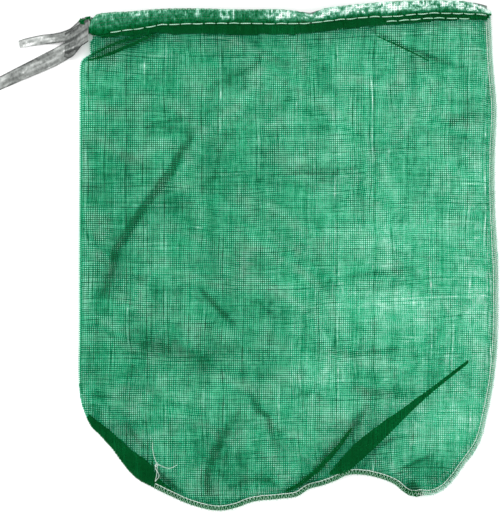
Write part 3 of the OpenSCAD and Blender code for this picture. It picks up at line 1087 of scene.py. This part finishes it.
loose_shell = Shell()
LOOSE_ENDS = [
    [(-96, -163), (-94.5, -155), (-94.7, -150.5), (-96.5, -145.5), (-97.8, -139), (-97.6, -134)],
    [(-94.6, -150), (-89, -152.5), (-85.5, -153.2), (-81, -151.2), (-79.8, -150.6)],
    [(-96, -163), (-93, -158.5), (-95.8, -152.2), (-94.2, -149)],
]
for number, points in enumerate(LOOSE_ENDS):
    p = along(points, 0.8)
    z = front_height(p[:, 0], p[:, 1]) + 1.3 + 0.25 * np.sin(np.arange(len(p)) * 0.8 + number)
    ring_tube(loose_shell, np.column_stack([p, z]), radius=0.24)
turn = np.linspace(0, 4 * np.pi, 26)
loose_knot = np.column_stack([
    -95 + 0.9 * np.cos(turn), -151 + 0.8 * np.sin(turn), 2.6 + 0.25 * np.sin(1.5 * turn),
])
loose_knot[:, 2] += front_height(loose_knot[:, 0], loose_knot[:, 1]) - 1.2
ring_tube(loose_shell, loose_knot, radius=0.28)
loose_threads = loose_shell.build("loose_thread_ends", seam_thread)


# ---- tape inside the hems ----

def run_path(base):
    """The tape's run in a hem, which meets its tail at the hem's left end."""
    x = np.arange(HEM_LEFT, 142.1, 0.7)
    y = (HEM_STITCH(x) + HEM_TOP(x)) / 2 + 0.3
    path = np.column_stack([x, y, base(x)])
    end = np.clip((x - HEM_LEFT) / 12, 0, 1)[:, None]
    start = np.array(on_hem(HEM_LEFT, 0))
    path[:, 1:2] = path[:, 1:2] * end + start[1] * (1 - end)
    return path


def tape_run(name, base, seed):
    """The flat tape inside one hem."""
    shell = Shell()
    film_tape(shell, run_path(base), RUN_W, crinkle=0.25, seed=seed)
    return shell.build(name, shaded_film_in_hem)


front_run = tape_run("drawstring_front_tape", front_hem_base, SEED + 4)
back_run = tape_run("drawstring_back_tape", back_hem_base, SEED + 5)
bend_shell = Shell()
BEND_ROWS, BEND_COLUMNS = 24, 9
bend_turn = np.linspace(-np.pi / 2, np.pi / 2, BEND_ROWS)
low, high = run_path(back_hem_base)[-1], run_path(front_hem_base)[-1]
bend_path = np.column_stack([
    low[0] + 2.2 * np.cos(bend_turn),
    np.full(BEND_ROWS, (low[1] + high[1]) / 2),
    (low[2] + high[2]) / 2 + (high[2] - low[2]) / 2 * np.sin(bend_turn),
])
across = np.linspace(-RUN_W / 2, RUN_W / 2, BEND_COLUMNS)
sheet = np.repeat(bend_path[:, None], BEND_COLUMNS, axis=1)
sheet[..., 1] += across
sheet[..., 0] += 0.25 * np.sin(across * 2.1 + bend_turn[:, None] * 4)
bend_shell.grid(sheet)
tape_bend = bend_shell.build("drawstring_bend_tape", shaded_film_in_hem)


# ---- what moves with what ----

SLOTS = {
    "leno_mesh": [
        (front_panel, "front_panel"), (back_panel, "back_panel"), (left_fold, "left_fold"),
        (side_allowance, "side_seam_allowance"), (side_corner, "side_seam_corner"),
    ],
    "folded_mesh": [
        (folded_corner, "folded_corner"), (bottom_allowance, "bottom_seam_allowance"),
        (front_casing, "front_casing"), (back_casing, "back_casing"), (casing_tuck, "casing_end_tuck"),
        (front_pleat, "front_pleat"),
    ],
    "sewing_thread": [
        (front_hem_thread, "front_hem_thread"), (back_hem_thread, "back_hem_thread"),
        (overrun_thread, "hem_thread_overrun"), (side_thread, "side_seam_thread"),
        (bottom_thread, "bottom_seam_thread"), (overlock, "bottom_overlock_thread"),
        (loose_threads, "loose_thread_tails"),
    ],
    "film_tape": [
        (front_run, "drawstring_front_run"), (back_run, "drawstring_back_run"),
        (tape_bend, "drawstring_return"), (upper_tail, "upper_tail"), (lower_tail, "lower_tail"),
        (knot, "drawstring_knot"),
    ],
}
for slot, pieces in SLOTS.items():
    for piece, name in pieces:
        if slot == "film_tape":
            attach(piece, "drawstring")
        else:
            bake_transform(piece)
        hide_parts(name)

run_of(upper_path)[-1] * MM
run_of(lower_path)[-1] * MM
flat_area(outline)
flat_area(outline)


# ---- floor and light ----

FLOOR = 3.0  # half its width, in metres
floor_mesh = bpy.data.meshes.new("floor")
floor_corners = [(-FLOOR, -FLOOR, 0), (FLOOR, -FLOOR, 0), (FLOOR, FLOOR, 0), (-FLOOR, FLOOR, 0)]
floor_mesh.from_pydata(floor_corners, [], [(0, 1, 2, 3)])
floor = bpy.data.objects.new("floor", floor_mesh)
bpy.context.collection.objects.link(floor)
paper, tree, out = new_material("pale matt paper")
matt = node(tree, "ShaderNodeBsdfPrincipled", Roughness=0.9)
matt.inputs["Base Color"].default_value = linear("f6f6f6")
tree.links.new(matt.outputs[0], out.inputs["Surface"])
floor_mesh.materials.append(paper)

world = bpy.data.worlds.new("studio")
world.use_nodes = True
world.node_tree.nodes["Background"].inputs["Color"].default_value = (1.0, 1.0, 1.0, 1.0)
world.node_tree.nodes["Background"].inputs["Strength"].default_value = 1.2
bpy.context.scene.world = world


def soft_light(name, place, size, power):
    """A square lamp that points at the middle of the bag."""
    lamp = bpy.data.lights.new(name, "AREA")
    lamp.size = size
    lamp.energy = power
    made = bpy.data.objects.new(name, lamp)
    bpy.context.collection.objects.link(made)
    made.location = place
    made.rotation_euler = (Vector((0, 0, 0)) - Vector(place)).to_track_quat("-Z", "Y").to_euler()


soft_light("window_light", (-0.9, 0.8, 1.2), size=0.7, power=9.0)
soft_light("fill_light", (1.0, -0.4, 1.3), size=1.0, power=3.0)

bpy.context.scene.view_settings.view_transform = "Standard"
bpy.context.scene.cycles.transparent_max_bounces = 40
